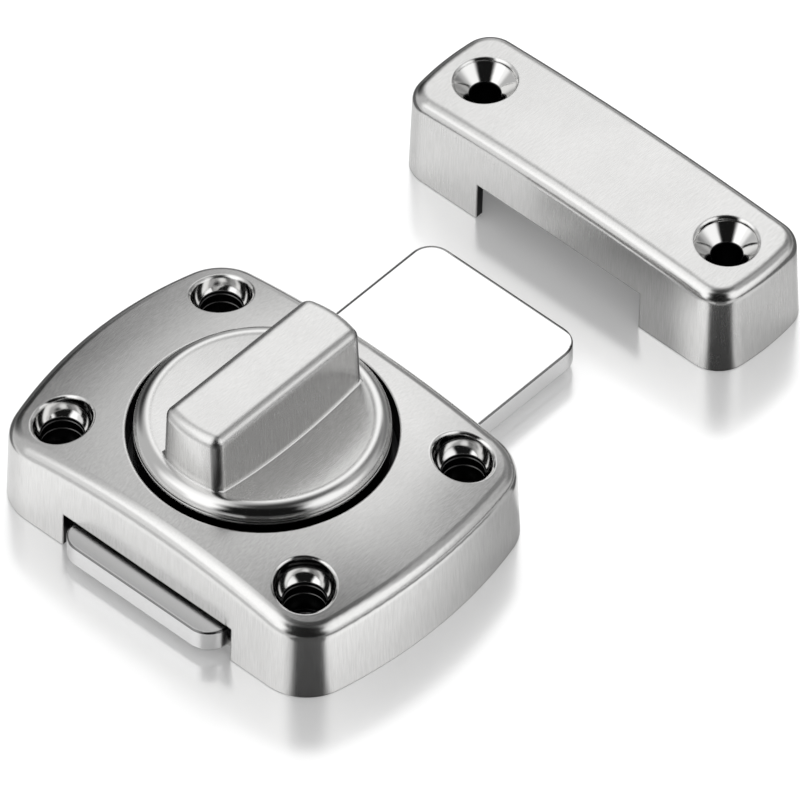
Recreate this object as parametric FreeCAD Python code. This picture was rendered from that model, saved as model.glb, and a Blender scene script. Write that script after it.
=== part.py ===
import FreeCAD, Part
import math
import os

V = FreeCAD.Vector
UP = V(0, 0, 1)

# Rotating bolt latch, in millimetres. The origin is on the mounting surface below the
# knob's axis, +X is the way the bolt throws, +Z leaves the mounting surface.

# Housing, outside
housing_half_x = 20.9  # flat side that the bolt passes through
housing_half_y = 28.75  # crest of the bowed side
housing_bow_radius = 66.0
housing_corner = 6.8
draft = math.tan(math.radians(2.0))
crown_top = 15.4
crown_radius = 112.0
top_edge_round = 2.2
spare = 1.0  # how far a cutting shape runs past the face it opens
touch = 0.01  # slack when an edge is picked by its place

# Housing, inside
wall = 1.5
cavity_ceiling = 6.9
well_floor = 9.1
well_inset = 4.3
well_cup_wall = 1.5
well_rim_round = 0.25
stem_bore_clearance = 0.06

# Mounting holes, the same spacing along Y in housing and keeper
hole_inset_x = 6.7
hole_spacing_y = 40.0
hole_radius = 1.95
boss_radius = 3.9
boss_web = 3.0
dish_radius = 3.85
dish_depth = 2.6
counterbore_radius = 2.7
counterbore_floor = 5.4
seat_edge_break = 0.3

# Bolt
bolt_width = 25.5
bolt_thickness = 3.2
bolt_underside = 1.2
bolt_tail_x = -23.2
bolt_tip_x = 43.95
bolt_corner = 3.1
bolt_edge_break = 0.3
bolt_travel = 20.6

# Bolt notches
notch_width = 27.8
notch_height = 5.4
keeper_notch_width = 27.0
keeper_notch_height = 5.8
guide_clearance = 0.2
guide_length = 2.9
notch_reach = 0.5

# Knob
knob_well_clearance = 0.85
knob_rim_rise = 1.25
knob_rim_width = 1.9
knob_dish_radius = 60.0
disc_rim_round = 1.75
knob_groove_drop = 1.9
disc_groove_width = 0.2
disc_groove_depth = 0.15
knob_washer_clearance = 0.1
bar_top = 25.0
bar_width_top = 8.95
bar_width_base = 9.8
bar_inset_top = 2.35
bar_inset_base = 2.1
bar_corner = 1.5
bar_top_round = 1.35
stem_radius = 5.0
stem_square = 6.4

# Crank and pin
crank_thickness = 1.6
crank_bolt_clearance = 0.4
crank_hub_radius = 7.2
crank_eye_radius = 2.9
pin_radius = 1.6
pin_slot_clearance = 0.5
pin_plate_clearance = 0.5
pin_head_overhang = 0.7
pin_head_height = 0.25
rest_angle = math.radians(45.0)
crank_throw = bolt_travel / 2 / math.cos(rest_angle)
slot_wall = 2.0
slot_inner_y = 7.9
ear_overhang = 0.65
ear_corner = 1.2

# Washers and detent
thrust_washer_thickness = 0.55
thrust_washer_inner = 5.6
thrust_washer_clearance = 1.0
wave_washer_thickness = 0.3
wave_washer_rise = 0.12
wave_washer_waves = 3
wave_washer_inner = 5.4
wave_washer_outer = 7.0
detent_inset = 3.45
detent_angle = math.radians(180.0)
ball_radius = 1.2
ball_clearance = 0.05
ball_hole_radius = 1.3
ball_hole_top = 14.2
dimple_depth = 0.35
spring_wire = 0.18
spring_radius = 0.95
spring_turns = 5

# Back plate
plate_thickness = 1.0
plate_clearance = 0.15
plate_boss_clearance = 0.3
post_inset = 6.75
post_radius = 2.6
plate_screw_radius = 1.2
plate_screw_head = 2.3
plate_screw_head_height = 0.9
plate_screw_length = 6.2
plate_screw_slot = 0.45
plate_screw_slot_reach = 1.38
plate_screw_clearance = 0.1
plate_screw_hole_spare = 0.5

# Keeper
keeper_front_x = 53.2
keeper_depth = 17.0
keeper_half_y = 27.4
keeper_end_radius = 36.0
keeper_corner = 4.4
keeper_height = 13.75
keeper_crown_radius = 360.0
keeper_wall = 1.2
keeper_top_wall = 1.9
keeper_round = 1.8
keeper_hole_x = 62.0
keeper_sink_radius = 3.85
keeper_sink_wall = 0.55
keeper_boss_radius = 3.7
keeper_sink_boss_depth = 4.5

bolt_top = bolt_underside + bolt_thickness
crank_underside = bolt_top + crank_bolt_clearance
crank_top = crank_underside + crank_thickness
pin_x = crank_throw * math.cos(rest_angle)
pin_y = crank_throw * math.sin(rest_angle)
thrust_washer_top = well_floor + thrust_washer_thickness
hole_spacing_x = 2 * (housing_half_x - hole_inset_x)
hole_places = [(sx * hole_spacing_x / 2, sy * hole_spacing_y / 2) for sx in (1, -1) for sy in (1, -1)]
keeper_mid_x = keeper_front_x + keeper_depth / 2
post_y = housing_half_y - post_inset
well_radius = housing_half_x - well_inset
disc_radius = well_radius - knob_well_clearance
disc_rim_top = crown_top + knob_rim_rise
disc_rim_inner = disc_radius - knob_rim_width
knob_dish_rise = math.sqrt(knob_dish_radius ** 2 - disc_rim_inner ** 2)
disc_face = disc_rim_top + knob_dish_rise - knob_dish_radius
disc_groove_z = disc_rim_top - knob_groove_drop
disc_underside = thrust_washer_top + knob_washer_clearance
bar_end_top = disc_radius - bar_inset_top
bar_end_base = disc_radius - bar_inset_base
detent_radius = disc_radius - detent_inset
thrust_washer_outer = detent_radius - ball_hole_radius - thrust_washer_clearance


def arc_through(a, b, c):
    return Part.Arc(a, b, c).toShape()


def bowed_outline(half_x, half_y, bow, corner, z, mid_x=0.0):
    """Closed wire with straight sides at x = +-half_x and bowed sides that crest at y = +-half_y."""
    bow_y = half_y - bow
    cx = half_x - corner
    cy = bow_y + math.sqrt((bow - corner) ** 2 - cx ** 2)
    reach = math.hypot(cx, cy - bow_y)
    tx = cx * bow / reach
    ty = bow_y + (cy - bow_y) * bow / reach
    turn = (math.atan2(cy - bow_y, cx)) / 2
    mx = cx + corner * math.cos(turn)
    my = cy + corner * math.sin(turn)

    def p(x, y):
        return V(mid_x + x, y, z)

    edges = [
        Part.makeLine(p(half_x, -cy), p(half_x, cy)),
        arc_through(p(half_x, cy), p(mx, my), p(tx, ty)),
        arc_through(p(tx, ty), p(0, half_y), p(-tx, ty)),
        arc_through(p(-tx, ty), p(-mx, my), p(-half_x, cy)),
        Part.makeLine(p(-half_x, cy), p(-half_x, -cy)),
        arc_through(p(-half_x, -cy), p(-mx, -my), p(-tx, -ty)),
        arc_through(p(-tx, -ty), p(0, -half_y), p(tx, -ty)),
        arc_through(p(tx, -ty), p(mx, -my), p(half_x, -cy)),
    ]
    return Part.Wire(edges)


def bowed_block(half_x, half_y, bow, corner, z0, z1, inset=0.0, mid_x=0.0):
    """Drafted block: every outline is the base outline moved inwards by inset plus height times draft."""

    def at(z):
        d = inset + z * draft
        return bowed_outline(half_x - d, half_y - d, bow - d, corner - d, z, mid_x)

    return Part.makeLoft([at(z0), at(z1)], True, True)


def cylinder(x, y, radius, z0, z1):
    return Part.makeCylinder(radius, z1 - z0, V(x, y, z0), UP)


def cone(x, y, r0, r1, z0, z1):
    return Part.makeCone(r0, r1, z1 - z0, V(x, y, z0), UP)


def box(x0, x1, y0, y1, z0, z1):
    return Part.makeBox(x1 - x0, y1 - y0, z1 - z0, V(x0, y0, z0))


def fuse(shapes):
    whole = shapes[0].multiFuse(shapes[1:])
    return whole.removeSplitter()


def revolve(points):
    """Turn a closed half profile of (radius, z) points about the Z axis."""
    wire = Part.makePolygon([V(r, 0, z) for r, z in points + points[:1]])
    return Part.Face(wire).revolve(V(0, 0, 0), UP, 360)


def crown_height(x, y):
    return crown_top - crown_radius + math.sqrt(crown_radius ** 2 - x * x - y * y)


def housing_block(inset, lower):
    block = bowed_block(
        housing_half_x, housing_half_y, housing_bow_radius, housing_corner, 0, crown_top + spare, inset)
    ball = Part.makeSphere(crown_radius - lower, V(0, 0, crown_top - crown_radius))
    return block.common(ball)


def top_rim(shape):
    """Edges where the crowned top meets the walls."""
    top = max(shape.Faces, key=lambda face: face.CenterOfMass.z)
    return [edge for edge in top.OuterWire.Edges if not edge.isSeam(top)]


def housing_shell():
    outer = housing_block(0.0, 0.0)
    outer = outer.makeFillet(top_edge_round, top_rim(outer))
    lower = bowed_block(
        housing_half_x, housing_half_y, housing_bow_radius, housing_corner, -spare, cavity_ceiling, wall)
    upper = housing_block(wall, wall).common(
        box(
            -housing_half_x, housing_half_x, -housing_half_y, housing_half_y, cavity_ceiling - spare,
            crown_top))
    upper = upper.cut(cylinder(0, 0, well_radius + well_cup_wall, 0, crown_top + spare))
    return outer.cut(lower.fuse(upper))


def hole_dish(x, y):
    """Dished seat: a spherical bowl from the crown down to the counterbore."""
    rim_z = crown_height(x, y)
    run = dish_radius ** 2 - counterbore_radius ** 2
    centre_up = (run - dish_depth ** 2) / (2 * dish_depth)
    ball_r = math.hypot(dish_radius, centre_up)
    ball = Part.makeSphere(ball_r, V(x, y, rim_z + centre_up))
    return ball.common(cylinder(x, y, dish_radius, rim_z - ball_r, rim_z + ball_r))


def edge_break(rim, outward, radius):
    """Slim cone that eases the edge of a seat, square to the crown there."""
    reach = 2 * seat_edge_break
    foot = rim - outward.normalize() * reach
    return Part.makeCone(
        radius - seat_edge_break, radius + seat_edge_break + spare, reach + spare, foot, outward)


def housing():
    shell = housing_shell()
    inner = bowed_block(
        housing_half_x, housing_half_y, housing_bow_radius, housing_corner, 0, crown_top + spare, wall / 2)
    inside = inner.common(Part.makeSphere(crown_radius - wall / 2, V(0, 0, crown_top - crown_radius)))
    added = []
    for x, y in hole_places:
        sx = math.copysign(1, x)
        sy = math.copysign(1, y)
        added.append(cylinder(x, y, boss_radius, 0, crown_top))
        added.append(cylinder(x, y, counterbore_radius + wall, cavity_ceiling, crown_top))
        webs = [(x, sx * housing_half_x, y - boss_web / 2, y + boss_web / 2)]
        webs.append((x - boss_web / 2, x + boss_web / 2, y, sy * housing_half_y))
        for x0, x1, y0, y1 in webs:
            added.append(box(min(x0, x1), max(x0, x1), min(y0, y1), max(y0, y1), 0, crown_top))
    for sy in (1, -1):
        added.append(cylinder(0, sy * post_y, post_radius, plate_thickness, crown_top))
        y0 = min(sy * post_y, sy * housing_half_y)
        y1 = max(sy * post_y, sy * housing_half_y)
        added.append(box(-boss_web / 2, boss_web / 2, y0, y1, plate_thickness, crown_top))
        for sx in (1, -1):
            x0 = sx * (housing_half_x - wall - guide_length)
            x1 = sx * housing_half_x
            y0 = sy * (bolt_width / 2 + guide_clearance)
            y1 = sy * (notch_width / 2 + wall)
            added.append(box(
                min(x0, x1), max(x0, x1), min(y0, y1), max(y0, y1), plate_thickness,
                cavity_ceiling + spare))
    added = [piece.common(inside) for piece in added]
    body = shell.multiFuse(added)
    cuts = [
        cylinder(0, 0, well_radius, well_floor, crown_top + spare),
        cylinder(0, 0, stem_radius + stem_bore_clearance, 0, crown_top),
    ]
    for sx in (1, -1):
        x0 = sx * (housing_half_x - wall - notch_reach)
        x1 = sx * (housing_half_x + spare)
        cuts.append(
            box(min(x0, x1), max(x0, x1), -notch_width / 2, notch_width / 2, -spare, notch_height))
    for x, y in hole_places:
        rim = V(x, y, crown_height(x, y))
        cuts.append(hole_dish(x, y))
        cuts.append(edge_break(rim, rim - V(0, 0, crown_top - crown_radius), dish_radius))
        cuts.append(cylinder(x, y, counterbore_radius, counterbore_floor, crown_top + spare))
        cuts.append(cylinder(x, y, hole_radius, -spare, crown_top + spare))
    for sy in (1, -1):
        depth = plate_screw_length + plate_screw_hole_spare
        cuts.append(cylinder(0, sy * post_y, plate_screw_radius, 0, depth))
    for turn in (0.0, math.pi / 2):
        a = detent_angle + turn
        centre = well_floor + ball_radius + ball_clearance - dimple_depth
        cuts.append(Part.makeSphere(
            ball_radius + ball_clearance,
            V(detent_radius * math.cos(a), detent_radius * math.sin(a), centre)))
    body = body.cut(Part.makeCompound(cuts)).removeSplitter()
    return body.makeFillet(well_rim_round, well_rim(body))


def well_rim(body):
    """The circle where the well opens through the crown."""
    found = []
    for edge in body.Edges:
        bound = edge.BoundBox
        centred = math.hypot(bound.Center.x, bound.Center.y) < touch
        if centred and bound.ZMin > well_floor + touch and abs(bound.XLength - 2 * well_radius) < touch:
            found.append(edge)
    return found


def bar_outline(width, end_radius, z):
    """Grip outline: straight sides along X and end arcs about the knob's axis, corners rounded."""
    r = bar_corner
    cy = width / 2 - r
    cx = math.sqrt((end_radius - r) ** 2 - cy ** 2)
    reach = math.hypot(cx, cy)
    tx = cx * end_radius / reach
    ty = cy * end_radius / reach
    turn = (math.atan2(cy, cx) + math.pi / 2) / 2
    mx = cx + r * math.cos(turn)
    my = cy + r * math.sin(turn)

    def p(x, y):
        return V(x, y, z)

    return Part.Wire([
        arc_through(p(tx, -ty), p(end_radius, 0), p(tx, ty)),
        arc_through(p(tx, ty), p(mx, my), p(cx, width / 2)),
        Part.makeLine(p(cx, width / 2), p(-cx, width / 2)),
        arc_through(p(-cx, width / 2), p(-mx, my), p(-tx, ty)),
        arc_through(p(-tx, ty), p(-end_radius, 0), p(-tx, -ty)),
        arc_through(p(-tx, -ty), p(-mx, -my), p(-cx, -width / 2)),
        Part.makeLine(p(-cx, -width / 2), p(cx, -width / 2)),
        arc_through(p(cx, -width / 2), p(mx, -my), p(tx, -ty)),
    ])


def knob():
    groove_low = disc_groove_z - disc_groove_width / 2
    groove_high = disc_groove_z + disc_groove_width / 2
    groove_r = disc_radius - disc_groove_depth
    disc = revolve([
        (0, disc_underside), (disc_radius, disc_underside), (disc_radius, groove_low),
        (groove_r, groove_low), (groove_r, groove_high), (disc_radius, groove_high),
        (disc_radius, disc_rim_top), (0, disc_rim_top)])
    outer = []
    for edge in disc.Edges:
        bound = edge.BoundBox
        if abs(bound.ZMin - disc_rim_top) < touch and bound.XLength > 2 * disc_radius - touch:
            outer.append(edge)
    disc = disc.makeFillet(disc_rim_round, outer)
    disc = disc.cut(Part.makeSphere(knob_dish_radius, V(0, 0, disc_rim_top + knob_dish_rise)))
    base = bar_outline(bar_width_base, bar_end_base, disc_face - spare)
    grip = Part.makeLoft([base, bar_outline(bar_width_top, bar_end_top, bar_top)], True, True)
    top = [e for e in grip.Edges if e.BoundBox.ZMin > bar_top - touch]
    grip = grip.makeFillet(bar_top_round, top)
    stem = cylinder(0, 0, stem_radius, crank_top, disc_underside)
    half = stem_square / 2
    square = box(-half, half, -half, half, crank_underside, crank_top)
    body = fuse([disc, grip, stem, square])
    a = detent_angle
    pocket = cylinder(
        detent_radius * math.cos(a), detent_radius * math.sin(a), ball_hole_radius,
        disc_underside - spare, ball_hole_top)
    return body.cut(pocket)


def crank():
    reach = Part.makeBox(
        crank_throw, 2 * crank_eye_radius, crank_thickness, V(0, -crank_eye_radius, crank_underside))
    reach.rotate(V(0, 0, 0), UP, math.degrees(rest_angle))
    body = fuse([
        cylinder(0, 0, crank_hub_radius, crank_underside, crank_top),
        cylinder(pin_x, pin_y, crank_eye_radius, crank_underside, crank_top),
        reach])
    half = stem_square / 2
    hole = box(-half, half, -half, half, crank_underside - spare, crank_top + spare)
    return body.cut(hole).cut(cylinder(pin_x, pin_y, pin_radius, 0, crank_top + spare))


def crank_pin():
    shank = cylinder(pin_x, pin_y, pin_radius, plate_thickness + pin_plate_clearance, crank_top)
    head = cylinder(
        pin_x, pin_y, pin_radius + pin_head_overhang, crank_top, crank_top + pin_head_height)
    return fuse([shank, head])


def bolt():
    half = bolt_width / 2
    slot_half = pin_radius + pin_slot_clearance
    plate = box(bolt_tail_x, bolt_tip_x, -half, half, bolt_underside, bolt_top)
    corners = []
    for edge in plate.Edges:
        if edge.BoundBox.ZLength > bolt_thickness - touch:
            corners.append(edge)
    plate = plate.makeFillet(bolt_corner, corners)
    ear_y = crank_throw + ear_overhang
    ear = box(
        pin_x - slot_half - slot_wall, pin_x + slot_half + slot_wall, half - slot_wall, ear_y,
        bolt_underside, bolt_top)
    ends = []
    for edge in ear.Edges:
        if edge.BoundBox.ZLength > bolt_thickness - touch and edge.BoundBox.YMin > half:
            ends.append(edge)
    ear = ear.makeFillet(ear_corner, ends)
    body = fuse([plate, ear])
    body = body.makeFillet(bolt_edge_break, outline_edges(body, bolt_tail_x, bolt_tip_x, half))
    slot = box(
        pin_x - slot_half, pin_x + slot_half, slot_inner_y, ear_y + spare,
        bolt_underside - spare, bolt_top + spare)
    return body.cut(slot)


def outline_edges(body, x0, x1, half):
    """Top and bottom edges of the bolt's outline, left out where the ear stands."""
    found = []
    for edge in body.Edges:
        b = edge.BoundBox
        flat = b.ZLength < touch
        ear_side = b.YMax > half - touch and b.YMin > half - bolt_corner
        at_corner = b.XMax < x0 + bolt_corner + touch or b.XMin > x1 - bolt_corner - touch
        if flat and (not ear_side or at_corner):
            found.append(edge)
    return found


def back_plate():
    plate = bowed_block(
        housing_half_x, housing_half_y, housing_bow_radius, housing_corner, 0, plate_thickness,
        wall + plate_clearance)
    cuts = []
    grow = plate_boss_clearance
    for x, y in hole_places:
        sx = math.copysign(1, x)
        sy = math.copysign(1, y)
        cuts.append(cylinder(x, y, boss_radius + grow, -spare, plate_thickness + spare))
        webs = [(x, sx * housing_half_x, y - boss_web / 2 - grow, y + boss_web / 2 + grow)]
        webs.append((x - boss_web / 2 - grow, x + boss_web / 2 + grow, y, sy * housing_half_y))
        for x0, x1, y0, y1 in webs:
            cuts.append(
                box(min(x0, x1), max(x0, x1), min(y0, y1), max(y0, y1), -spare, plate_thickness + spare))
    for sy in (1, -1):
        gap = plate_screw_clearance
        cuts.append(cylinder(0, sy * post_y, plate_screw_radius + gap, -spare, plate_thickness + spare))
        cuts.append(cone(
            0, sy * post_y, plate_screw_head + gap, plate_screw_radius + gap, 0, plate_screw_head_height))
    body = plate.cut(Part.makeCompound(cuts))
    return max(body.Solids, key=lambda s: s.Volume)


def back_plate_screw(y):
    head = cone(0, y, plate_screw_head, plate_screw_radius, 0, plate_screw_head_height)
    shank = cylinder(0, y, plate_screw_radius, plate_screw_head_height, plate_screw_length)
    half = plate_screw_slot / 2
    reach = plate_screw_slot_reach
    slots = [
        box(-reach, reach, y - half, y + half, -spare, plate_screw_slot),
        box(-half, half, y - reach, y + reach, -spare, plate_screw_slot),
    ]
    return fuse([head, shank]).cut(Part.makeCompound(slots))


def thrust_washer():
    ring = cylinder(0, 0, thrust_washer_outer, well_floor, thrust_washer_top)
    return ring.cut(cylinder(0, 0, thrust_washer_inner, 0, thrust_washer_top + spare))


def wave_washer():
    """Flat ring bent into three low waves between the crank and the housing's ceiling."""
    mid = (crank_top + cavity_ceiling) / 2
    steps = 48
    rails = []
    for radius in (wave_washer_inner, wave_washer_outer):
        for side in (-1, 1):
            points = []
            for i in range(steps):
                a = 2 * math.pi * i / steps
                lift = wave_washer_rise / 2 * math.sin(wave_washer_waves * a)
                points.append(V(
                    radius * math.cos(a), radius * math.sin(a),
                    mid + lift + side * wave_washer_thickness / 2))
            curve = Part.BSplineCurve()
            curve.interpolate(points, PeriodicFlag=True)
            rails.append(curve.toShape())
    inner_low, inner_high, outer_low, outer_high = rails
    faces = [
        Part.makeRuledSurface(inner_low, inner_high),
        Part.makeRuledSurface(inner_high, outer_high),
        Part.makeRuledSurface(outer_high, outer_low),
        Part.makeRuledSurface(outer_low, inner_low),
    ]
    shell = Part.makeShell([f for face in faces for f in face.Faces])
    shell.sewShape()
    solid = Part.makeSolid(shell)
    if solid.Volume < 0:
        solid.reverse()
    return solid


def detent_place():
    return detent_radius * math.cos(detent_angle), detent_radius * math.sin(detent_angle)


def detent_ball():
    x, y = detent_place()
    return Part.makeSphere(ball_radius, V(x, y, well_floor + ball_radius + ball_clearance))


def detent_spring():
    x, y = detent_place()
    low = well_floor + ball_clearance + 2 * ball_radius + spring_wire
    high = ball_hole_top - spring_wire - ball_clearance
    pitch = (high - low) / spring_turns
    helix = Part.makeHelix(pitch, high - low, spring_radius)
    ring = Part.Wire([Part.makeCircle(spring_wire, V(spring_radius, 0, 0), V(0, 1, 0))])
    coil = Part.Wire(helix.Edges).makePipeShell([ring], True, True)
    coil.translate(V(x, y, low))
    return coil


def keeper_block(inset, lower, z0):
    block = bowed_block(
        keeper_depth / 2, keeper_half_y, keeper_end_radius, keeper_corner, z0, keeper_height + spare,
        inset, keeper_mid_x)
    radius = keeper_crown_radius - lower
    side = keeper_half_y + spare
    foot = keeper_height - keeper_crown_radius
    x = keeper_front_x - spare
    shoulder = foot + math.sqrt(radius ** 2 - side ** 2)
    rim = arc_through(V(x, -side, shoulder), V(x, 0, foot + radius), V(x, side, shoulder))
    low = z0 - spare
    rest = Part.makePolygon(
        [V(x, side, shoulder), V(x, side, low), V(x, -side, low), V(x, -side, shoulder)])
    crown = Part.Face(Part.Wire([rim] + rest.Edges)).extrude(V(keeper_depth + 2 * spare, 0, 0))
    return block.common(crown)


def keeper():
    outer = keeper_block(0.0, 0.0, 0)
    outer = outer.makeFillet(keeper_round, top_rim(outer))
    hollow = keeper_block(keeper_wall, keeper_top_wall, -spare)
    body = outer.cut(hollow)
    lower = keeper_block(keeper_wall / 2, keeper_top_wall / 2, 0)
    added = []
    for sy in (1, -1):
        y = sy * hole_spacing_y / 2
        added.append(cylinder(keeper_hole_x, y, keeper_boss_radius, 0, keeper_height))
        added.append(cylinder(
            keeper_hole_x, y, keeper_sink_radius + keeper_wall, keeper_height - keeper_sink_boss_depth,
            keeper_height))
        y0 = min(y, sy * keeper_half_y)
        y1 = max(y, sy * keeper_half_y)
        added.append(box(
            keeper_hole_x - boss_web / 2, keeper_hole_x + boss_web / 2, y0, y1, 0, keeper_height))
        added.append(box(
            keeper_front_x, keeper_front_x + keeper_depth, y - keeper_wall / 2, y + keeper_wall / 2,
            0, keeper_height))
    added = [piece.common(lower) for piece in added]
    body = body.multiFuse(added)
    cuts = [box(
        keeper_front_x - spare, keeper_front_x + keeper_wall + notch_reach, -keeper_notch_width / 2,
        keeper_notch_width / 2, -spare, keeper_notch_height)]
    for sy in (1, -1):
        y = sy * hole_spacing_y / 2
        rim = keeper_height - y * y / (2 * keeper_crown_radius)
        shoulder = rim - keeper_sink_wall
        foot = shoulder - keeper_sink_radius + hole_radius
        outward = V(0, y, rim - keeper_height + keeper_crown_radius)
        cuts.append(cylinder(keeper_hole_x, y, hole_radius, -spare, keeper_height + spare))
        cuts.append(cone(keeper_hole_x, y, hole_radius, keeper_sink_radius, foot, shoulder))
        cuts.append(cylinder(keeper_hole_x, y, keeper_sink_radius, shoulder, keeper_height + spare))
        cuts.append(edge_break(V(keeper_hole_x, y, rim), outward, keeper_sink_radius))
    return body.cut(Part.makeCompound(cuts)).removeSplitter()


def build():
    os.makedirs("parts", exist_ok=True)
    pieces = {
        "housing": housing(),
        "knob": knob(),
        "crank": crank(),
        "crank_pin": crank_pin(),
        "bolt": bolt(),
        "back_plate": back_plate(),
        "back_plate_screw_1": back_plate_screw(post_y),
        "back_plate_screw_2": back_plate_screw(-post_y),
        "thrust_washer": thrust_washer(),
        "wave_washer": wave_washer(),
        "detent_ball": detent_ball(),
        "detent_spring": detent_spring(),
        "keeper": keeper(),
    }
    for name, shape in pieces.items():
        shape.Solids[0].exportStep("parts/" + name + ".step")
        print(name, len(shape.Solids), shape.isValid(), round(shape.Volume, 2))


build()
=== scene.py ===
import math

import bpy
from mathutils import Matrix, Vector

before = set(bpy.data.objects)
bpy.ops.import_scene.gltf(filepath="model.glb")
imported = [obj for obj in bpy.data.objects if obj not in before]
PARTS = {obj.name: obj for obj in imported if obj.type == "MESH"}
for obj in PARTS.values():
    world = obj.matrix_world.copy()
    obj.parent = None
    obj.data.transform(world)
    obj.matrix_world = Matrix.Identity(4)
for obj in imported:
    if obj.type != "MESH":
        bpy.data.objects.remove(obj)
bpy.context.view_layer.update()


# Housing
# A crowned, hollow zinc die casting, nickel plated and brushed to a satin, upwards on its walls and finer on its
# crown. Its four screw dishes are left polished, and painted shade darkens the holes, the knob's well and the
# bolt's notches. Four screws hold it to the door.

SATIN_NICKEL = (0.655, 0.652, 0.645, 1.0)
RUBBED_NICKEL = (0.74, 0.737, 0.73, 1.0)
# Colour of the painted shade in holes, well, notches and socket, and of the painted dark on the grip's corners.
RECESS_PAINTED_SHADE = (0.035, 0.035, 0.036, 1.0)
SCREW_X = 0.0142
SCREW_Y = 0.020
HOLE_RADIUS = 0.00272
STEP_RADIUS = 0.00215
STEP_FLOOR = 0.0054
RING_HEIGHTS = (0.0082, 0.0096)
DISH_RADIUS = 0.0042
WELL_RADIUS = 0.01663
HOUSING_WALL_X = 0.0208
WALL_DRAFT = 0.035
NOTCH_HALF_Y = 0.01395
NOTCH_TOP = 0.00545

# Where masks start and end: lengths are in metres, and the others are upward shares of a normal.
MASK_EDGE = 0.0001
NOTCH_EDGE = 0.00005
WELL_EDGE = 0.00008
STEP_BAND = (STEP_FLOOR - 0.0003, STEP_FLOOR - 0.0002)
RING_BAND = (0.00005, 0.00015)
TOP_FROM_WALL = (0.55, 0.8)
SHOULDER_FROM_WALL = (0.08, 0.25)
SHOULDER_TO_TOP = (0.92, 0.98)

# How much each effect does where its mask is full.
CLEAN_ROUGH = -0.01
SMUDGE_ROUGH = 0.03
SCRATCH_ROUGH = 0.04
EDGE_ROUGH = -0.06
RECESS_ROUGH = 0.32
GRAIN_DEPTH = 0.00001
SHOULDER_POLISH = 0.4
# STEP_BRIGHT and RING_BRIGHT say how far the painted shade in the holes is lifted, a painted highlight on step and
# rings.
STEP_BRIGHT = 0.8
RING_BRIGHT = 0.24
RING_LEAN = 0.7


def group_sockets(tree, inputs, outputs):
    """Named inputs and outputs of an effect, with the inputs' usual values."""
    for name, value in inputs:
        tree.interface.new_socket(name, in_out="INPUT", socket_type="NodeSocketFloat").default_value = value
    for name, kind in outputs:
        tree.interface.new_socket(name, in_out="OUTPUT", socket_type=kind)
    return tree.nodes.new("NodeGroupInput"), tree.nodes.new("NodeGroupOutput")


def calc(tree, operation, *values):
    """One Math node. Each value is a number or a socket."""
    node = tree.nodes.new("ShaderNodeMath")
    node.operation = operation
    for socket, value in zip(node.inputs, values):
        if isinstance(value, (int, float)):
            socket.default_value = value
        else:
            tree.links.new(value, socket)
    return node.outputs[0]


def spread(tree, value, low, high, to_low=0.0, to_high=1.0):
    """One Map Range node: value from low to high becomes to_low to to_high, with soft ends."""
    node = tree.nodes.new("ShaderNodeMapRange")
    node.interpolation_type = "SMOOTHSTEP"
    tree.links.new(value, node.inputs["Value"])
    for name, number in (("From Min", low), ("From Max", high), ("To Min", to_low), ("To Max", to_high)):
        node.inputs[name].default_value = number
    return node.outputs["Result"]


def up_to(tree, value, limit, edge=MASK_EDGE):
    """1 where the value is below the limit, and 0 from one edge's width past it."""
    return spread(tree, value, limit, limit + edge, 1.0, 0.0)


def blend(tree, mask, under, over):
    """One Mix node, of numbers or of colours, with over where the mask is 1."""
    node = tree.nodes.new("ShaderNodeMix")
    colours = any(isinstance(value, tuple) or getattr(value, "type", "") == "RGBA" for value in (under, over))
    node.data_type = "RGBA" if colours else "FLOAT"
    tree.links.new(mask, node.inputs[0])
    for socket, value in zip(node.inputs[6:8] if colours else node.inputs[2:4], (under, over)):
        if isinstance(value, (int, float, tuple)):
            socket.default_value = value
        else:
            tree.links.new(value, socket)
    return node.outputs[2] if colours else node.outputs[0]


def place_axes(tree):
    """X, Y and Z on the piece itself, in metres."""
    place = tree.nodes.new("ShaderNodeTexCoord")
    axes = tree.nodes.new("ShaderNodeSeparateXYZ")
    tree.links.new(place.outputs["Object"], axes.inputs[0])
    return axes.outputs


def facing_axes(tree):
    """X, Y and Z of the direction that the surface looks in."""
    facing = tree.nodes.new("ShaderNodeNewGeometry")
    axes = tree.nodes.new("ShaderNodeSeparateXYZ")
    tree.links.new(facing.outputs["Normal"], axes.inputs[0])
    return axes.outputs


def length_of(tree, first, second):
    """Length of a line from its two parts at right angles."""
    return calc(tree, "SQRT", calc(
        tree, "ADD", calc(tree, "MULTIPLY", first, first), calc(tree, "MULTIPLY", second, second)))


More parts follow.
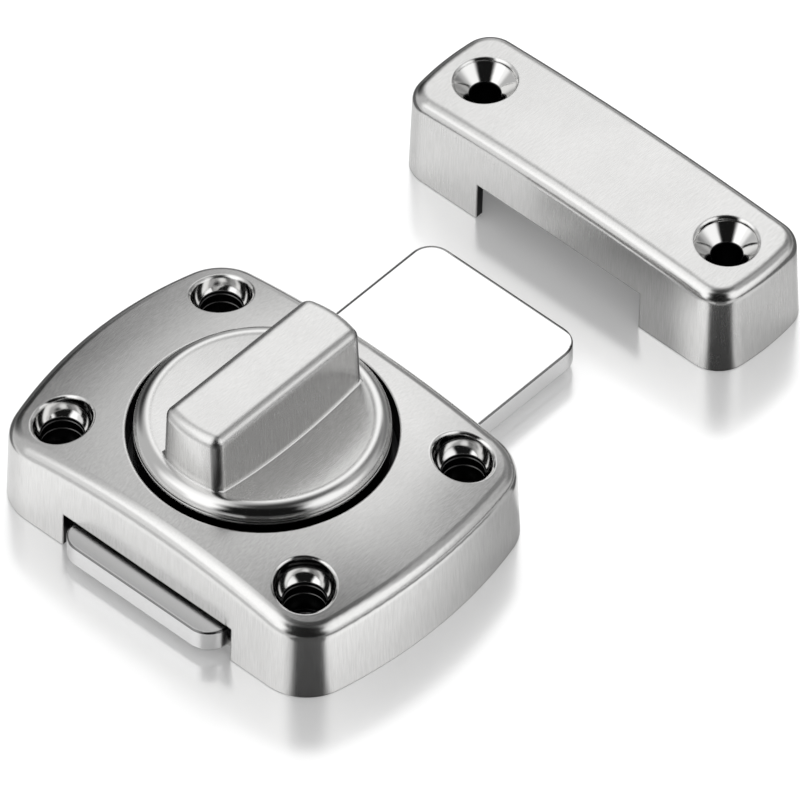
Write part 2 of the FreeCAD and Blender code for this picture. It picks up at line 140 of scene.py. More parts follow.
def brushing_effect():
    """Fine parallel scratches, upright on walls and along X on tops, with the smudges left by hands."""
    tree = bpy.data.node_groups.new("brushing", "ShaderNodeTree")
    given, made = group_sockets(
        tree,
        [("Lines", 8000.0), ("Wall Stretch", 0.03), ("Top Stretch", 0.12), ("Top Depth", 0.9), ("Cloud", 160.0)],
        [("Height", "NodeSocketFloat"), ("Mask", "NodeSocketFloat"), ("Smudge", "NodeSocketFloat")])
    is_top = spread(tree, calc(tree, "ABSOLUTE", facing_axes(tree)["Z"]), *TOP_FROM_WALL)
    axes = place_axes(tree)
    layers = []
    for along, stretch in (("Z", "Wall Stretch"), ("X", "Top Stretch")):
        long_rate = calc(tree, "MULTIPLY", given.outputs["Lines"], given.outputs[stretch])
        join = tree.nodes.new("ShaderNodeCombineXYZ")
        for axis in "XYZ":
            rate = long_rate if axis == along else given.outputs["Lines"]
            tree.links.new(calc(tree, "MULTIPLY", axes[axis], rate), join.inputs[axis])
        noise = tree.nodes.new("ShaderNodeTexNoise")
        noise.inputs["Scale"].default_value = 1.0
        noise.inputs["Detail"].default_value = 3.0
        tree.links.new(join.outputs[0], noise.inputs["Vector"])
        layers.append(noise.outputs["Fac"])
    wall_lines, top_lines = layers
    shallow = calc(tree, "MULTIPLY", calc(tree, "SUBTRACT", top_lines, 0.5), given.outputs["Top Depth"])
    lines = blend(tree, is_top, wall_lines, calc(tree, "ADD", 0.5, shallow))
    place = tree.nodes.new("ShaderNodeTexCoord")
    cloud = tree.nodes.new("ShaderNodeTexNoise")
    cloud.inputs["Detail"].default_value = 4.0
    tree.links.new(place.outputs["Object"], cloud.inputs["Vector"])
    tree.links.new(given.outputs["Cloud"], cloud.inputs["Scale"])
    tree.links.new(lines, made.inputs["Height"])
    tree.links.new(spread(tree, lines, 0.3, 0.7), made.inputs["Mask"])
    tree.links.new(spread(tree, cloud.outputs["Fac"], 0.35, 0.65), made.inputs["Smudge"])
    return tree


def edge_effect():
    """Edges eased by tumbling: a rounded normal, and a mask that is 1 along the edges."""
    tree = bpy.data.node_groups.new("eased_edges", "ShaderNodeTree")
    given, made = group_sockets(
        tree, [("Radius", 0.0002)], [("Normal", "NodeSocketVector"), ("Mask", "NodeSocketFloat")])
    rounded = tree.nodes.new("ShaderNodeBevel")
    rounded.samples = 6
    tree.links.new(given.outputs["Radius"], rounded.inputs["Radius"])
    facing = tree.nodes.new("ShaderNodeNewGeometry")
    same = tree.nodes.new("ShaderNodeVectorMath")
    same.operation = "DOT_PRODUCT"
    tree.links.new(rounded.outputs[0], same.inputs[0])
    tree.links.new(facing.outputs["Normal"], same.inputs[1])
    tree.links.new(rounded.outputs[0], made.inputs["Normal"])
    tree.links.new(spread(tree, same.outputs["Value"], 0.82, 0.995, 1.0, 0.0), made.inputs["Mask"])
    return tree


def leaning_effect():
    """A place rubbed off its form: its normal turned part of the way to one direction."""
    tree = bpy.data.node_groups.new("rubbed_leaning", "ShaderNodeTree")
    given, made = group_sockets(tree, [("Share", 0.0)], [("Normal", "NodeSocketVector")])
    tree.interface.new_socket("Normal", in_out="INPUT", socket_type="NodeSocketVector")
    upright = tree.interface.new_socket("Toward", in_out="INPUT", socket_type="NodeSocketVector")
    upright.default_value = (0, 0, 1)
    turn = tree.nodes.new("ShaderNodeMix")
    turn.data_type = "VECTOR"
    tree.links.new(given.outputs["Share"], turn.inputs[0])
    tree.links.new(given.outputs["Normal"], turn.inputs[4])
    tree.links.new(given.outputs["Toward"], turn.inputs[5])
    unit = tree.nodes.new("ShaderNodeVectorMath")
    unit.operation = "NORMALIZE"
    tree.links.new(turn.outputs[1], unit.inputs[0])
    tree.links.new(unit.outputs[0], made.inputs["Normal"])
    return tree


BRUSHING = brushing_effect()
EASED_EDGES = edge_effect()
LEANING = leaning_effect()


def brushed_metal(name, colour, rubbed, satin, edge=0.0002, grain=0.15, polished=None, polish=0.08, painted_shade=None,
                  leaning=()):
    """Brushed metal. The polished function gives the mask of its bright places and the next function the mask of
    its painted shade; each of leaning gives how far a place leans and the direction it leans in, if that isn't
    upright."""
    material = bpy.data.materials.new(name)
    material.use_nodes = True
    tree = material.node_tree
    shader = tree.nodes["Principled BSDF"]
    shader.inputs["Metallic"].default_value = 1.0
    lines = tree.nodes.new("ShaderNodeGroup")
    lines.node_tree = BRUSHING
    edges = tree.nodes.new("ShaderNodeGroup")
    edges.node_tree = EASED_EDGES
    edges.inputs["Radius"].default_value = edge
    height = lines.outputs["Height"]
    tint = blend(tree, lines.outputs["Mask"], colour, rubbed)
    tint = blend(tree, edges.outputs["Mask"], tint, rubbed)
    rough = calc(tree, "MULTIPLY_ADD", lines.outputs["Smudge"], SMUDGE_ROUGH, satin + CLEAN_ROUGH)
    rough = calc(tree, "MULTIPLY_ADD", lines.outputs["Mask"], SCRATCH_ROUGH, rough)
    rough = calc(tree, "MULTIPLY_ADD", edges.outputs["Mask"], EDGE_ROUGH, rough)
    if polished:
        mask = polished(tree)
        rough = blend(tree, mask, rough, polish)
        tint = blend(tree, mask, tint, rubbed)
        height = calc(tree, "MULTIPLY", height, calc(tree, "SUBTRACT", 1.0, mask))
    # Painted shade: where this mask is full the tint goes to the dark recess colour and the surface gets rougher.
    if painted_shade:
        mask = painted_shade(tree)
        rough = blend(tree, mask, rough, RECESS_ROUGH)
        tint = blend(tree, mask, tint, RECESS_PAINTED_SHADE)
    tree.links.new(tint, shader.inputs["Base Color"])
    tree.links.new(rough, shader.inputs["Roughness"])
    bump = tree.nodes.new("ShaderNodeBump")
    bump.inputs["Distance"].default_value = GRAIN_DEPTH
    bump.inputs["Strength"].default_value = grain
    tree.links.new(height, bump.inputs["Height"])
    turned = edges.outputs["Normal"]
    for place in leaning:
        share, toward_it = place(tree)
        rubbing = tree.nodes.new("ShaderNodeGroup")
        rubbing.node_tree = LEANING
        tree.links.new(share, rubbing.inputs["Share"])
        tree.links.new(turned, rubbing.inputs["Normal"])
        if toward_it:
            tree.links.new(toward_it, rubbing.inputs["Toward"])
        turned = rubbing.outputs["Normal"]
    tree.links.new(turned, bump.inputs["Normal"])
    tree.links.new(bump.outputs[0], shader.inputs["Normal"])
    return material


def finish_node(name, material):
    """Gives a CAD node its finish."""
    PARTS[name].data.materials.clear()
    PARTS[name].data.materials.append(material)


def from_screw_axis(tree, middle_x, half_x, half_y):
    """Distance from the nearest of the screw axes, which stand in a rectangle round middle_x."""
    axes = place_axes(tree)
    off_middle = calc(tree, "ABSOLUTE", calc(tree, "SUBTRACT", axes["X"], middle_x))
    from_x = calc(tree, "SUBTRACT", off_middle, half_x)
    from_y = calc(tree, "SUBTRACT", calc(tree, "ABSOLUTE", axes["Y"]), half_y)
    return length_of(tree, from_x, from_y)


def from_knob_axis(tree):
    """Distance from the knob's axis."""
    axes = place_axes(tree)
    return length_of(tree, axes["X"], axes["Y"])


def shoulders(tree):
    """Mask of the rounded edges between top and walls, which the buff runs over most."""
    up = facing_axes(tree)["Z"]
    return calc(tree, "MULTIPLY", spread(tree, up, *SHOULDER_FROM_WALL, 0.0, SHOULDER_POLISH),
                spread(tree, up, *SHOULDER_TO_TOP, 1.0, 0.0))


def in_notch(tree, middle_x, half_x, half_y, height):
    """1 on what lies behind the drafted walls and inside the bolt's notches, which get painted shade."""
    axes = place_axes(tree)
    off_x = calc(tree, "ABSOLUTE", calc(tree, "SUBTRACT", axes["X"], middle_x))
    off_x = calc(tree, "MULTIPLY_ADD", axes["Z"], WALL_DRAFT, off_x)
    inside = spread(tree, off_x, half_x - 3 * NOTCH_EDGE, half_x - NOTCH_EDGE, 1.0, 0.0)
    for value, limit in ((calc(tree, "ABSOLUTE", axes["Y"]), half_y), (axes["Z"], height)):
        inside = calc(tree, "MULTIPLY", inside, up_to(tree, value, limit, NOTCH_EDGE))
    return inside


def drill_rings(tree):
    """How far the two rings that the drill left in each screw hole lean towards the light."""
    depth = place_axes(tree)["Z"]
    rings = 0.0
    for height in RING_HEIGHTS:
        off = calc(tree, "ABSOLUTE", calc(tree, "SUBTRACT", depth, height))
        rings = calc(tree, "MAXIMUM", rings, spread(tree, off, *RING_BAND, RING_LEAN, 0.0))
    away = from_screw_axis(tree, 0.0, SCREW_X, SCREW_Y)
    return calc(tree, "MULTIPLY", rings, up_to(tree, away, HOLE_RADIUS)), None


def housing_dishes(tree):
    """Mask of the polished screw dishes and shoulders."""
    dishes = up_to(tree, from_screw_axis(tree, 0.0, SCREW_X, SCREW_Y), DISH_RADIUS)
    return calc(tree, "MAXIMUM", dishes, shoulders(tree))


def housing_painted_shade(tree):
    """Mask of painted shade in the holes, fainter at their steps and rings, in the well and in the notches."""
    away = from_screw_axis(tree, 0.0, SCREW_X, SCREW_Y)
    from_step_up = spread(tree, place_axes(tree)["Z"], *STEP_BAND)
    # A painted highlight on the hole's step: the painted shade is lifted there.
    step_painted_light = calc(tree, "MULTIPLY", up_to(tree, away, STEP_RADIUS), from_step_up)
    holes = up_to(tree, away, HOLE_RADIUS)
    holes = calc(tree, "MULTIPLY", holes, calc(tree, "MULTIPLY_ADD", step_painted_light, -STEP_BRIGHT, 1.0))
    # A painted highlight on the drill rings: the painted shade is lifted there too.
    holes = calc(tree, "MULTIPLY", holes, calc(
        tree, "MULTIPLY_ADD", drill_rings(tree)[0], -RING_BRIGHT, 1.0))
    well = up_to(tree, from_knob_axis(tree), WELL_RADIUS, WELL_EDGE)
    notches = in_notch(tree, 0.0, HOUSING_WALL_X, NOTCH_HALF_Y, NOTCH_TOP)
    return calc(tree, "MAXIMUM", calc(tree, "MAXIMUM", holes, well), notches)


finish_node("housing", brushed_metal(
    "satin_nickel_housing", SATIN_NICKEL, RUBBED_NICKEL, satin=0.21, edge=0.0003,
    polished=housing_dishes, painted_shade=housing_painted_shade, leaning=(drill_rings,)))


# Thrust washer and wave washer
# The knob runs on a flat moulded nylon washer in the housing's well. A wavy ring of spring steel below the floor
# of the well keeps the knob pulled down on it without play.

NYLON = (0.80, 0.78, 0.72, 1.0)
NYLON_FLOW = (0.74, 0.72, 0.66, 1.0)
NYLON_ROUGH = 0.42
NYLON_SMUDGE_ROUGH = 0.08
SPRING_STEEL = (0.56, 0.53, 0.50, 1.0)
SPRING_STEEL_RUBBED = (0.66, 0.64, 0.61, 1.0)


def nylon(name):
    """Matt moulded nylon with a faint flow pattern."""
    material = bpy.data.materials.new(name)
    material.use_nodes = True
    tree = material.node_tree
    shader = tree.nodes["Principled BSDF"]
    lines = tree.nodes.new("ShaderNodeGroup")
    lines.node_tree = BRUSHING
    lines.inputs["Lines"].default_value = 2500.0
    lines.inputs["Cloud"].default_value = 400.0
    smudge = lines.outputs["Smudge"]
    tree.links.new(blend(tree, smudge, NYLON, NYLON_FLOW), shader.inputs["Base Color"])
    tree.links.new(
        calc(tree, "MULTIPLY_ADD", smudge, NYLON_SMUDGE_ROUGH, NYLON_ROUGH), shader.inputs["Roughness"])
    bump = tree.nodes.new("ShaderNodeBump")
    bump.inputs["Distance"].default_value = GRAIN_DEPTH
    bump.inputs["Strength"].default_value = 0.15
    tree.links.new(lines.outputs["Height"], bump.inputs["Height"])
    tree.links.new(bump.outputs[0], shader.inputs["Normal"])
    return material


finish_node("thrust_washer", nylon("moulded_nylon"))
finish_node("wave_washer", brushed_metal(
    "spring_steel_washer", SPRING_STEEL, SPRING_STEEL_RUBBED, satin=0.3, edge=0.0001, grain=0.15))


# Detent ball and spring
# A hard steel ball, ground and polished, is pressed from a pocket in the knob into a dimple of the well's floor by
# a coil of drawn spring wire. It holds the knob at each end of its quarter turn.

BALL_STEEL = (0.78, 0.78, 0.79, 1.0)
BALL_STEEL_RUBBED = (0.86, 0.86, 0.86, 1.0)

finish_node("detent_ball", brushed_metal(
    "ground_steel_ball", BALL_STEEL, BALL_STEEL_RUBBED, satin=0.08, edge=0.00005, grain=0.03))
finish_node("detent_spring", brushed_metal(
    "drawn_spring_wire", SPRING_STEEL, SPRING_STEEL_RUBBED, satin=0.25, edge=0.00005, grain=0.1))


# Knob
# The knob is a zinc casting of its own: a disc with a tapered grip across it, plated and brushed like the housing.
# The disc's rounded rim is buffed bright. Its stem goes down through the well and carries the crank.

RIM_FROM = 0.0139
RIM_EDGE = 0.0002
FACE_TO = RIM_FROM - 0.0006
DISC_TOP = 0.0168
DISC_TOP_EDGE = 0.0003
FACE_Z = 0.0151
GRIP_REACH = 0.0149
GRIP_FOOT_X = 0.0128
GRIP_FOOT_X_FADE = 0.0004
GRIP_FOOT_Y = 0.00489
FOOT_BAND = (0.0001, 0.00022)
FACE_FROM_GRIP = (0.93, 0.96)
CORNER_SKEW = (0.12, 0.42)
CORNER_TO_TOP = (0.55, 0.75)
FACE_LEAN = 0.45
FOOT_LEAN = 0.85
FOOT_OUTWARD = 0.72
FOOT_UPWARD = 0.69
# How far the painted dark reflection on the grip's corners goes.
CORNER_PAINTED_DARK = 0.7


def knob_rim(tree):
    """Mask of the disc's rounded rim."""
    return spread(tree, from_knob_axis(tree), RIM_FROM - RIM_EDGE, RIM_FROM + RIM_EDGE)


def on_knob_face(tree):
    """1 on the disc's dished face and 0 on its rim and on the grip."""
    inside = spread(tree, from_knob_axis(tree), FACE_TO, RIM_FROM - RIM_EDGE, 1.0, 0.0)
    inside = calc(tree, "MULTIPLY", inside, spread(tree, facing_axes(tree)["Z"], *FACE_FROM_GRIP))
    return calc(tree, "MULTIPLY", inside, up_to(tree, place_axes(tree)["Z"], DISC_TOP, DISC_TOP_EDGE))


def knob_face(tree):
    """How far the dished face is rubbed level."""
    return calc(tree, "MULTIPLY", on_knob_face(tree), FACE_LEAN), None


def grip_foot(tree):
    """The bright line where the wheel ran along the foot of the grip's two long sides."""
    axes = place_axes(tree)
    from_side = calc(tree, "SUBTRACT", calc(tree, "ABSOLUTE", axes["Y"]), GRIP_FOOT_Y)
    line = calc(tree, "MULTIPLY", on_knob_face(tree), spread(tree, from_side, *FOOT_BAND, FOOT_LEAN, 0.0))
    off_middle = calc(tree, "ABSOLUTE", axes["X"])
    line = calc(tree, "MULTIPLY", line, spread(
        tree, off_middle, GRIP_FOOT_X - GRIP_FOOT_X_FADE, GRIP_FOOT_X, 1.0, 0.0))
    outward = tree.nodes.new("ShaderNodeCombineXYZ")
    tree.links.new(calc(tree, "MULTIPLY", calc(tree, "SIGN", axes["Y"]), FOOT_OUTWARD), outward.inputs["Y"])
    outward.inputs["Z"].default_value = FOOT_UPWARD
    return line, outward.outputs[0]


def grip_corner_painted_dark(tree):
    """Painted dark reflection on the grip's four upright corners, in the recess colour."""
    turned = facing_axes(tree)
    askew = calc(tree, "ABSOLUTE", calc(tree, "MULTIPLY", turned["X"], turned["Y"]))
    corner = spread(tree, askew, *CORNER_SKEW, 0.0, CORNER_PAINTED_DARK)
    upright = spread(tree, calc(tree, "ABSOLUTE", turned["Z"]), *CORNER_TO_TOP, 1.0, 0.0)
    corner = calc(tree, "MULTIPLY", corner, upright)
    corner = calc(tree, "MULTIPLY", corner, up_to(tree, from_knob_axis(tree), GRIP_REACH - MASK_EDGE))
    return calc(tree, "MULTIPLY", corner, spread(tree, place_axes(tree)["Z"], FACE_Z - MASK_EDGE, FACE_Z))


finish_node("knob", brushed_metal(
    "satin_nickel_knob", SATIN_NICKEL, RUBBED_NICKEL, satin=0.22, edge=0.0007, grain=0.15,
    polished=knob_rim, polish=0.07, painted_shade=grip_corner_painted_dark, leaning=(knob_face, grip_foot)))


# Crank and crank pin
# A stamped steel arm on the knob's square, with a riveted pin that stands in a slot across the bolt. A quarter
# turn of the knob carries the pin, and the bolt with it, 20.6 mm. Both are zinc plated.

ZINC_PLATE = (0.60, 0.61, 0.62, 1.0)
ZINC_PLATE_RUBBED = (0.70, 0.71, 0.72, 1.0)

for inner in ("crank", "crank_pin"):
    finish_node(inner, brushed_metal(
        "zinc_plated_" + inner, ZINC_PLATE, ZINC_PLATE_RUBBED, satin=0.34, edge=0.00015, grain=0.2))


# Bolt
# A flat bar of steel, sheared to length, polished on its faces and left a satin grey on its cut sides. It slides
# through notches in the housing's two flat walls, and its tail shows in the far one.

BOLT_STEEL = (0.86, 0.86, 0.86, 1.0)
BOLT_STEEL_RUBBED = (0.92, 0.92, 0.92, 1.0)
CUT_STEEL = (0.76, 0.76, 0.76, 1.0)
# Colour of the painted dark outline on the bolt's edges and on the border of its top.
PAINTED_EDGE_DARK = (0.22, 0.22, 0.22, 1.0)
DULL_STEEL = (0.61, 0.61, 0.61, 1.0)
CUT_ROUGH = 0.25
TAIL_DULL_TO = -0.0205
TAIL_BRIGHT_FROM = -0.0080
BOLT_TIP_X = 0.04395
BOLT_HALF_Y = 0.01275
BOLT_CORNER = 0.0031
BORDER_BAND = (BOLT_CORNER - 0.00055, BOLT_CORNER - 0.00035)
BORDER_LEAN = 0.27
# How strongly the painted dark outline shows on the top's border.
BORDER_PAINTED_DARK = 2.0
TAIL_LEAN = 0.15
FACE_FROM_EDGE = (0.95, 0.99)
SIDE_TO_FACE = (0.5, 0.9)
EDGE_FROM_SIDE = (0.1, 0.3)
EDGE_TO_FACE = (0.9, 0.98)


def bolt_parts(tree):
    """Masks of the sheared sides, of the edges, which get a painted dark outline, and of the tail, which stays as
    it was rolled.
    """
    level = calc(tree, "ABSOLUTE", facing_axes(tree)["Z"])
    sides = spread(tree, level, *SIDE_TO_FACE, 1.0, 0.0)
    edges = calc(tree, "MULTIPLY", spread(tree, level, *EDGE_FROM_SIDE),
                 spread(tree, level, *EDGE_TO_FACE, 1.0, 0.0))
    tail = spread(tree, place_axes(tree)["X"], TAIL_DULL_TO, TAIL_BRIGHT_FROM, 1.0, 0.0)
    return sides, edges, tail


def bolt_border(tree):
    """How far the top's border, rolled over at the tip and the far side by the polishing, leans outwards."""
    axes = place_axes(tree)
    from_end = calc(tree, "MAXIMUM", calc(tree, "SUBTRACT", axes["X"], BOLT_TIP_X - BOLT_CORNER), 0.0)
    from_side = calc(tree, "MAXIMUM", calc(tree, "SUBTRACT", axes["Y"], BOLT_HALF_Y - BOLT_CORNER), 0.0)
    outward = tree.nodes.new("ShaderNodeCombineXYZ")
    tree.links.new(from_end, outward.inputs["X"])
    tree.links.new(from_side, outward.inputs["Y"])
    unit = tree.nodes.new("ShaderNodeVectorMath")
    unit.operation = "NORMALIZE"
    tree.links.new(outward.outputs[0], unit.inputs[0])
    away = length_of(tree, from_end, from_side)
    return spread(tree, away, *BORDER_BAND, 0.0, BORDER_LEAN), unit.outputs[0]


def tail_lean(tree):
    """How far the tail's face falls away to its end, where the rolls left it low."""
    face = spread(tree, facing_axes(tree)["Z"], *FACE_FROM_EDGE)
    to_end = tree.nodes.new("ShaderNodeCombineXYZ")
    to_end.inputs["X"].default_value = -1.0
    tail = calc(tree, "MULTIPLY", bolt_parts(tree)[2], face)
    return calc(tree, "MULTIPLY", tail, TAIL_LEAN), to_end.outputs[0]


def bolt_finish():
    """The polished bar with its dull cut sides, its dull tail and a painted dark outline on its edges and border.
    """
    material = brushed_metal("polished_steel_bolt", BOLT_STEEL, BOLT_STEEL_RUBBED, satin=0.09, edge=0.00025,
                             grain=0.12, leaning=(bolt_border, tail_lean))
    tree = material.node_tree
    shader = tree.nodes["Principled BSDF"]
    tint = shader.inputs["Base Color"].links[0].from_socket
    rough = shader.inputs["Roughness"].links[0].from_socket
    sides, edges, tail = bolt_parts(tree)
    tint = blend(tree, tail, tint, DULL_STEEL)
    # Painted dark outline along the top's border at the tip and the far side.
    tint = blend(tree, calc(tree, "MULTIPLY", bolt_border(tree)[0], BORDER_PAINTED_DARK), tint, PAINTED_EDGE_DARK)
    # Painted dark outline along the edges between faces and sides.
    tint = blend(tree, edges, blend(tree, sides, tint, CUT_STEEL), PAINTED_EDGE_DARK)
    rough = blend(tree, calc(tree, "MAXIMUM", sides, tail), rough, CUT_ROUGH)
    tree.links.new(tint, shader.inputs["Base Color"])
    tree.links.new(rough, shader.inputs["Roughness"])
    return material


finish_node("bolt", bolt_finish())


# Back plate and its two screws
# A thin stamped stainless plate closes the housing from behind, and the bolt slides on it. Two cross-slotted
# screws of zinc plated steel hold it to posts in the casting.

STAINLESS = (0.62, 0.615, 0.60, 1.0)
STAINLESS_RUBBED = (0.70, 0.695, 0.68, 1.0)

finish_node("back_plate", brushed_metal(
    "stainless_plate", STAINLESS, STAINLESS_RUBBED, satin=0.3, edge=0.0001, grain=0.3))
for screw in ("back_plate_screw_1", "back_plate_screw_2"):
    finish_node(screw, brushed_metal(
        "zinc_plated_" + screw, ZINC_PLATE, ZINC_PLATE_RUBBED, satin=0.3, edge=0.0001, grain=0.15))


# Keeper
# The second casting goes on the frame and takes the bolt's end under its bridge. It is hollow, plated and brushed
# like the housing, and has two polished countersinks for its screws. Painted shade darkens its screw holes and the
# socket for the bolt.

KEEPER_SCREW_X = 0.062
KEEPER_SINK_RADIUS = 0.0042
KEEPER_HOLE_RADIUS = 0.00202
KEEPER_MIDDLE_X = 0.0617
KEEPER_WALL_X = 0.0084
KEEPER_NOTCH_HALF_Y = 0.01355
KEEPER_NOTCH_TOP = 0.00585


def keeper_sinks(tree):
    """Mask of the polished countersinks and shoulders."""
    away = from_screw_axis(tree, KEEPER_SCREW_X, 0.0, SCREW_Y)
    return calc(tree, "MAXIMUM", up_to(tree, away, KEEPER_SINK_RADIUS), shoulders(tree))


def keeper_painted_shade(tree):
    """Mask of painted shade in the screw holes and in the socket for the bolt."""
    away = from_screw_axis(tree, KEEPER_SCREW_X, 0.0, SCREW_Y)
    socket = in_notch(tree, KEEPER_MIDDLE_X, KEEPER_WALL_X, KEEPER_NOTCH_HALF_Y, KEEPER_NOTCH_TOP)
    return calc(tree, "MAXIMUM", up_to(tree, away, KEEPER_HOLE_RADIUS), socket)


finish_node("keeper", brushed_metal(
    "satin_nickel_keeper", SATIN_NICKEL, RUBBED_NICKEL, satin=0.22, edge=0.0003,
    polished=keeper_sinks, painted_shade=keeper_painted_shade))


# Stage
# A pale, faintly glossy sheet under a soft lamp from behind. The metal mirrors bright boards behind the latch and
# on both of its sides, and the dark of the room where the camera stands, overhead and low along the far horizon.

# Each board's bearing from +X and rise above the horizon, its reach and soft edge, all in degrees, how much it is
# flattened to a low band, and its tone.
BOARDS = (
    (-33, 76, 15, 6, 1.0, 0.18),
    (127, 67, 12, 9, 1.0, 1.14),
    (33, 45, 15, 11, 1.0, 1.24),
    (169, 36, 31, 13, 1.0, 1.39),
    (-76, 31, 21, 14, 1.0, 1.24),
    (0, 14, 24, 9, 2.6, 0.22),
    (72, 16, 14, 14, 1.0, 0.03),
    (-5, 46, 13, 5, 1.0, 0.26),
    (-42, 46, 11, 7, 1.0, 0.46),
    (148, 15, 12, 5, 1.0, 0.92),
    (-137.5, 8, 36, 6, 1.0, 0.01),
    (-137.5, 45, 27, 7, 1.0, 0.01),
    (-110, 80, 14, 8, 1.0, 0.05),
)
ROOM_TONE = 0.59
LIGHT_ON_SHEET = 0.74
LIGHT_SEEN = 1.0


def toward(bearing, rise):
    """Unit vector at a bearing from +X and a rise above the horizon, in degrees."""
    a, b = math.radians(bearing), math.radians(rise)
    return Vector((math.cos(a) * math.cos(b), math.sin(a) * math.cos(b), math.sin(b)))


def board(tree, direction, bearing, rise, reach, edge, flat, tone, under):
    """Board of that tone, reach degrees round one direction, over what is there. flat makes it a low band."""
    scaled = tree.nodes.new("ShaderNodeVectorMath")
    scaled.operation = "MULTIPLY"
    tree.links.new(direction, scaled.inputs[0])
    scaled.inputs[1].default_value = (1.0, 1.0, flat)
    unit = tree.nodes.new("ShaderNodeVectorMath")
    unit.operation = "NORMALIZE"
    tree.links.new(scaled.outputs[0], unit.inputs[0])
    centre = toward(bearing, rise)
    centre.z *= flat
    dot = tree.nodes.new("ShaderNodeVectorMath")
    dot.operation = "DOT_PRODUCT"
    tree.links.new(unit.outputs[0], dot.inputs[0])
    dot.inputs[1].default_value = centre.normalized()
    outer, inner = math.radians(reach + edge), math.radians(max(reach - edge, 0))
    near = spread(tree, dot.outputs["Value"], math.cos(outer), math.cos(inner))
    return blend(tree, near, under, tone)


world = bpy.data.worlds.new("studio")
bpy.context.scene.world = world
world.cycles.sampling_method = "NONE"
world.use_nodes = True
tree = world.node_tree
tree.nodes.clear()
place = tree.nodes.new("ShaderNodeTexCoord")
tone = ROOM_TONE
for bearing, rise, reach, edge, flat, value in BOARDS:
    tone = board(tree, place.outputs["Generated"], bearing, rise, reach, edge, flat, value, tone)
lit = tree.nodes.new("ShaderNodeBackground")
lit.inputs["Strength"].default_value = LIGHT_ON_SHEET
seen = tree.nodes.new("ShaderNodeBackground")
seen.inputs["Strength"].default_value = LIGHT_SEEN
mirrored = tree.nodes.new("ShaderNodeBackground")
tree.links.new(tone, mirrored.inputs["Strength"])
for node in (lit, seen, mirrored):
    node.inputs["Color"].default_value = (1, 1, 1, 1)
rays = tree.nodes.new("ShaderNodeLightPath")
first = tree.nodes.new("ShaderNodeMixShader")
tree.links.new(rays.outputs["Is Glossy Ray"], first.inputs[0])
tree.links.new(lit.outputs[0], first.inputs[1])
tree.links.new(mirrored.outputs[0], first.inputs[2])
second = tree.nodes.new("ShaderNodeMixShader")
tree.links.new(rays.outputs["Is Camera Ray"], second.inputs[0])
tree.links.new(first.outputs[0], second.inputs[1])
tree.links.new(seen.outputs[0], second.inputs[2])
out = tree.nodes.new("ShaderNodeOutputWorld")
tree.links.new(second.outputs[0], out.inputs["Surface"])

bpy.ops.mesh.primitive_plane_add(size=6.0, location=(0, 0, -0.0001))
floor = bpy.context.object
floor.name = "floor"
sheet = bpy.data.materials.new("pale_sheet")
sheet.use_nodes = True
tree = sheet.node_tree
tree.nodes.remove(tree.nodes["Principled BSDF"])
matt = tree.nodes.new("ShaderNodeBsdfDiffuse")
matt.inputs["Color"].default_value = (0.9, 0.9, 0.9, 1)
sheen = tree.nodes.new("ShaderNodeBsdfGlossy")
sheen.inputs["Color"].default_value = (1, 1, 1, 1)
sheen.inputs["Roughness"].default_value = 0.2
paper = tree.nodes.new("ShaderNodeMixShader")
paper.inputs[0].default_value = 0.36
tree.links.new(matt.outputs[0], paper.inputs[1])
tree.links.new(sheen.outputs[0], paper.inputs[2])
glow = tree.nodes.new("ShaderNodeEmission")
lifted = tree.nodes.new("ShaderNodeAddShader")
tree.links.new(paper.outputs[0], lifted.inputs[0])
tree.links.new(glow.outputs[0], lifted.inputs[1])

# Black cards widen away from the two front corners, with dark bands beyond them, and grey ones lie between
# housing and keeper, before the keeper and out to the left and the front. Dark ones cover the sheet behind the
# latch, which draws the outline of its far edges, and a faint white one lies in front. Only the metal sees them.
CARD_ACROSS = (0.73, -0.68)
CARD_ALONG = (-0.68, -0.73)
CARD_END = 0.004
SHEET_GLOW = 0.15
WHITE_GLOW = 0.17

# Each card's middle across the view, its half width, how fast that grows towards the camera, its soft edge, where
# it starts and stops towards the camera, and how dark it is.
CARDS = (
    (0.0032, 0.0014, 0.6, 0.0022, 0.0311, 0.060, 0.88),
    (0.0574, 0.0011, 0.8, 0.0022, -0.0182, 0.002, 0.90),
    (0.0430, 0.0090, 0.0, 0.0060, -0.049, -0.023, 0.52),
    (0.0180, 0.0200, 0.0, 0.0060, -0.066, -0.030, 0.18),
    (0.0020, 0.0120, 0.35, 0.0060, 0.048, 1.0, 0.88),
    (0.0590, 0.0080, 0.35, 0.0060, 0.012, 1.0, 0.80),
)
axes = place_axes(tree)


def card_axis(direction):
    """Distance along one direction on the sheet."""
    return calc(tree, "ADD", calc(tree, "MULTIPLY", axes["X"], direction[0]),
                calc(tree, "MULTIPLY", axes["Y"], direction[1]))


def zone(strength, *edges):
    """A large card of that strength. Each edge is a distance, with where the card ends and where it is full."""
    card = strength
    for distance, end, full in edges:
        if end < full:
            mask = spread(tree, distance, end, full)
        else:
            mask = spread(tree, distance, full, end, 1.0, 0.0)
        card = calc(tree, "MULTIPLY", mask, card)
    return card


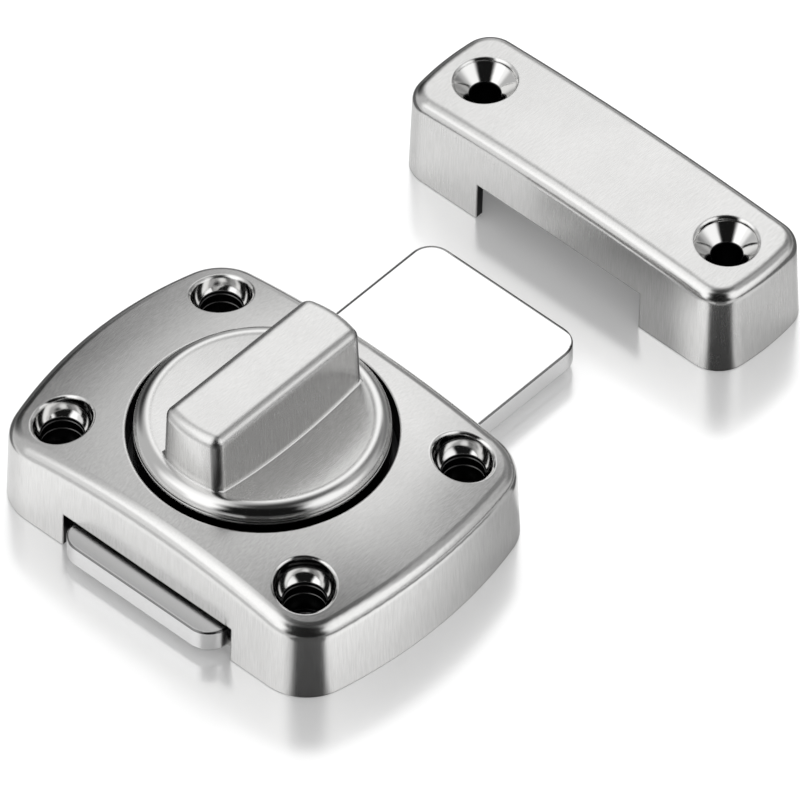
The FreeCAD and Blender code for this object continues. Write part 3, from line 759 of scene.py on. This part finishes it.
across, along = card_axis(CARD_ACROSS), card_axis(CARD_ALONG)
dark_cards = [
    zone(0.85, (axes["Y"], 0.036, 0.046), (axes["X"], -0.045, -0.025)),
    zone(0.85, (axes["X"], 0.074, 0.082)),
    zone(0.35, (axes["X"], -0.045, -0.060)),
    zone(0.22, (axes["Y"], -0.040, -0.052)),
    zone(0.25, (axes["Y"], -0.022, -0.026), (axes["X"], 0.047, 0.052)),
    zone(0.50, (along, 0.028, 0.006), (along, 0.001, 0.004), (across, 0.014, 0.022)),
]
for middle, half, growth, soft, start, stop, dark in CARDS:
    off = calc(tree, "ABSOLUTE", calc(tree, "SUBTRACT", across, middle))
    off = calc(tree, "SUBTRACT", off, calc(tree, "MULTIPLY", growth, calc(tree, "SUBTRACT", along, start)))
    dark_cards.append(zone(
        dark, (off, half + soft, half), (along, start - CARD_END, start), (along, stop + CARD_END, stop)))
cards = 0.0
for card in dark_cards:
    cards = calc(tree, "MAXIMUM", cards, card)
white = zone(WHITE_GLOW, (axes["Y"], -0.012, -0.045), (axes["X"], -0.035, -0.020), (axes["X"], 0.048, 0.040))
rays = tree.nodes.new("ShaderNodeLightPath")
for_metal = rays.outputs["Is Glossy Ray"]
tree.links.new(calc(tree, "ADD", SHEET_GLOW, calc(tree, "MULTIPLY", for_metal, white)), glow.inputs["Strength"])
hidden = tree.nodes.new("ShaderNodeEmission")
hidden.inputs["Strength"].default_value = 0.0
mix = tree.nodes.new("ShaderNodeMixShader")
tree.links.new(calc(tree, "MULTIPLY", for_metal, cards), mix.inputs[0])
tree.links.new(lifted.outputs[0], mix.inputs[1])
tree.links.new(hidden.outputs[0], mix.inputs[2])
tree.links.new(mix.outputs[0], tree.nodes["Material Output"].inputs["Surface"])
floor.data.materials.append(sheet)

LAMP_PLACE = Vector((0.42, 0.36, 0.50))
LAMP_TARGET = Vector((0.02, 0, 0))

lamp = bpy.data.objects.new("soft_light", bpy.data.lights.new("soft_light", "AREA"))
lamp.data.size = 0.4
lamp.data.energy = 2.5
lamp.location = LAMP_PLACE
lamp.rotation_mode = "QUATERNION"
lamp.rotation_quaternion = (LAMP_PLACE - LAMP_TARGET).to_track_quat("Z", "Y")
lamp.visible_glossy = False
bpy.context.collection.objects.link(lamp)


# Camera
# It stands to the left and in front of the latch and looks down on it from far away, so that edges stay parallel.

CAMERA_PLACE = Vector((-1.268556, -1.183285, 1.908457))
CAMERA_RIGHT = Vector((0.675471, -0.737386, 0.000519))
CAMERA_UP = Vector((0.542881, 0.497773, 0.676389))

camera = bpy.data.objects.new("camera", bpy.data.cameras.new("camera"))
camera.data.sensor_width = 36.0
camera.data.lens = 953.75
camera.data.clip_start = 0.1
camera.data.clip_end = 20.0
turn = Matrix((CAMERA_RIGHT, CAMERA_UP, CAMERA_RIGHT.cross(CAMERA_UP).normalized())).transposed()
camera.matrix_world = Matrix.Translation(CAMERA_PLACE) @ turn.to_4x4()
bpy.context.collection.objects.link(camera)
bpy.context.scene.camera = camera
bpy.context.scene.view_settings.view_transform = "Standard"
